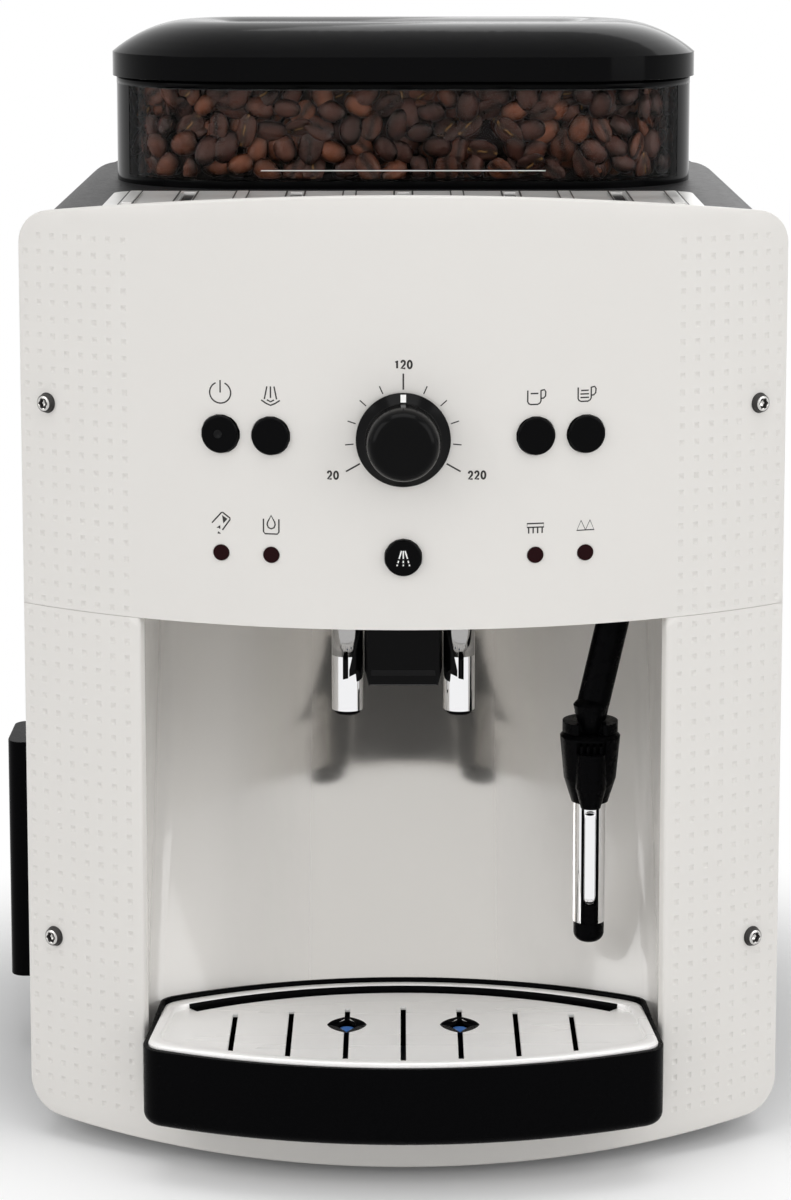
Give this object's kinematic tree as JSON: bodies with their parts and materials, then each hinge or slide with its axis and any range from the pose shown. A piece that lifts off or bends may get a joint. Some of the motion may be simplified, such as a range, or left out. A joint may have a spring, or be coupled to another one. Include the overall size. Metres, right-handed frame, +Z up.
{
  "type": "bean to cup coffee machine",
  "caption": "Free-standing bean to cup coffee machine with bowed front, cup niche, height-adjustable spout, steam wand, bean hopper, water tank, drip tray and grounds drawer.",
  "frame": {"origin": "on the table, below the middle of the body, on the machine's centre plane", "axes": "+Z up, +X to the user's right, +Y to the back"},
  "size_m": [0.2601, 0.3299, 0.3601],
  "materials": {
    "white_casing": "satin white moulding",
    "niche_grey": "polished light grey moulding",
    "black_plastic": "fine-grained black moulding",
    "gloss_black": "smooth black moulding",
    "brushed_steel": "brushed sheet",
    "chrome": "mirror plated",
    "screw_steel": "bright zinc",
    "machined_steel": "machined",
    "rubber": "soft black",
    "clear_plastic": "clear",
    "smoke_plastic": "smoked clear",
    "roast_beans": "oily dark roast",
    "cast_aluminium": "as cast",
    "motor_can": "zinc plated",
    "gear_plastic": "natural",
    "circuit_board": "solder resist",
    "red_lens": "tinted clear",
    "pointer_white": "moulded insert",
    "float_blue": "moulded"
  },
  "bodies": {
    "housing": {"base_pan": "black_plastic", "rubber_feet": "rubber", "front_surround": "white_casing", "control_fascia": "white_casing", "fascia_screws": "screw_steel", "niche_liner": "niche_grey", "side_panel_left": "black_plastic", "side_panel_right": "black_plastic", "bulkhead": "black_plastic", "rear_housing": "black_plastic", "power_inlet": "black_plastic", "top_cover": "black_plastic", "cup_plate": "brushed_steel", "hopper_shell": "gloss_black", "hopper_window": "clear_plastic", "coffee_beans": "roast_beans", "grinder_housing": "black_plastic", "grinder_motor": "motor_can", "upper_burr": "machined_steel", "brew_group": "black_plastic", "brew_motor": "motor_can", "thermoblock": "cast_aluminium", "pump": "motor_can", "pump_mounts": "rubber", "main_board": "circuit_board", "control_board": "circuit_board", "indicator_lenses": "red_lens", "spout_guide": "black_plastic", "steam_bracket": "black_plastic"},
    "volume_dial": {"volume_knob": "gloss_black", "knob_pointer": "pointer_white"},
    "power_button": {"power_button": "gloss_black"},
    "steam_button": {"steam_button": "gloss_black"},
    "one_cup_button": {"one_cup_button": "gloss_black"},
    "two_cup_button": {"two_cup_button": "gloss_black"},
    "rinse_button": {"rinse_button": "gloss_black"},
    "spout": {"spout_carriage": "gloss_black", "spout_nozzles": "chrome", "nozzle_tips": "black_plastic"},
    "steam_wand": {"steam_arm": "black_plastic"},
    "steam_nozzle": {"steam_collar": "black_plastic", "steam_tube": "chrome", "steam_tip": "black_plastic"},
    "lid": {"hopper_lid": "gloss_black", "hopper_lid_seal": "rubber"},
    "grind_selector": {"grind_adjust_knob": "black_plastic"},
    "burr": {"burr_gear": "gear_plastic", "lower_burr": "machined_steel"},
    "pinion": {"motor_pinion": "gear_plastic"},
    "piston": {"brew_piston": "black_plastic"},
    "spindle": {"brew_spindle": "machined_steel"},
    "tank": {"water_tank": "smoke_plastic", "tank_valve": "black_plastic"},
    "tank_cover": {"tank_lid": "gloss_black"},
    "drawer": {"grounds_drawer": "black_plastic", "drawer_handle": "black_plastic"},
    "tray": {"drip_tray": "black_plastic"},
    "grid": {"drip_grid": "brushed_steel"},
    "float": {"tray_float": "float_blue"}
  },
  "joints": [
    {"name": "volume_turn", "type": "hinge", "parent": "housing", "child": "volume_dial", "pos_m": [0, -0.15, 0.238], "axis": [0, 1, 0], "range_deg": [-120, 120]},
    {"name": "power_button_press", "type": "slide", "parent": "housing", "child": "power_button", "axis": [0.2761, 0.9611, 0], "range_m": [0, 0.002], "stiffness_N_per_m": 400},
    {"name": "steam_button_press", "type": "slide", "parent": "housing", "child": "steam_button", "axis": [0.1995, 0.9799, 0], "range_m": [0, 0.002], "stiffness_N_per_m": 400},
    {"name": "one_cup_button_press", "type": "slide", "parent": "housing", "child": "one_cup_button", "axis": [-0.1995, 0.9799, 0], "range_m": [0, 0.002], "stiffness_N_per_m": 400},
    {"name": "two_cup_button_press", "type": "slide", "parent": "housing", "child": "two_cup_button", "axis": [-0.2761, 0.9611, 0], "range_m": [0, 0.002], "stiffness_N_per_m": 400},
    {"name": "rinse_button_press", "type": "slide", "parent": "housing", "child": "rinse_button", "axis": [0, 1, 0], "range_m": [0, 0.002], "stiffness_N_per_m": 400},
    {"name": "spout_height", "type": "slide", "parent": "housing", "child": "spout", "axis": [0, 0, -1], "range_m": [0, 0.045]},
    {"name": "steam_swing", "type": "hinge", "parent": "housing", "child": "steam_wand", "pos_m": [0.0724, -0.105, 0.1915], "axis": [-1, 0, 0], "range_deg": [0, 35]},
    {"name": "steam_nozzle_pull", "type": "slide", "parent": "steam_wand", "child": "steam_nozzle", "axis": [0, 0, -1], "range_m": [0, 0.014]},
    {"name": "hopper_lid_lift", "type": "slide", "parent": "housing", "child": "lid", "axis": [0, 0, 1], "range_m": [0, 0.06]},
    {"name": "grind_setting", "type": "hinge", "parent": "housing", "child": "grind_selector", "pos_m": [0.046, 0.009, 0.3], "axis": [0, 0, 1], "range_deg": [-60, 60]},
    {"name": "burr_spin", "type": "hinge", "parent": "housing", "child": "burr", "pos_m": [0, 0.009, 0.225], "axis": [0, 0, 1], "continuous": true},
    {"name": "pinion_spin", "type": "hinge", "parent": "housing", "child": "pinion", "pos_m": [-0.045, 0.009, 0.225], "axis": [0, 0, 1], "continuous": true},
    {"name": "spindle_turn", "type": "hinge", "parent": "housing", "child": "spindle", "pos_m": [0.056, 0.01, 0.122], "axis": [0, 0, 1], "range_deg": [0, 3456.1]},
    {"name": "piston_slide", "type": "slide", "parent": "housing", "child": "piston", "axis": [0, 0, -1], "range_m": [0, 0.024]},
    {"name": "tank_lift", "type": "slide", "parent": "housing", "child": "tank", "axis": [0, 0, 1], "range_m": [0, 0.24]},
    {"name": "tank_lid_open", "type": "hinge", "parent": "tank", "child": "tank_cover", "pos_m": [0, 0.1478, 0.299], "axis": [-1, 0, 0], "range_deg": [0, 75]},
    {"name": "drawer_slide", "type": "slide", "parent": "housing", "child": "drawer", "axis": [-1, 0, 0], "range_m": [0, 0.15]},
    {"name": "tray_slide", "type": "slide", "parent": "housing", "child": "tray", "axis": [0, -1, 0], "range_m": [0, 0.095]},
    {"name": "grid_lift", "type": "slide", "parent": "tray", "child": "grid", "axis": [0, 0, 1], "range_m": [0, 0.012]},
    {"name": "float_rise", "type": "slide", "parent": "tray", "child": "float", "axis": [0, 0, 1], "range_m": [0, 0.008]}
  ],
  "couplings": [
    {"joint": "pinion_spin", "follows": "burr_spin", "ratio": -5},
    {"joint": "spindle_turn", "follows": "piston_slide", "rad_per_m": 2513.3}
  ]
}
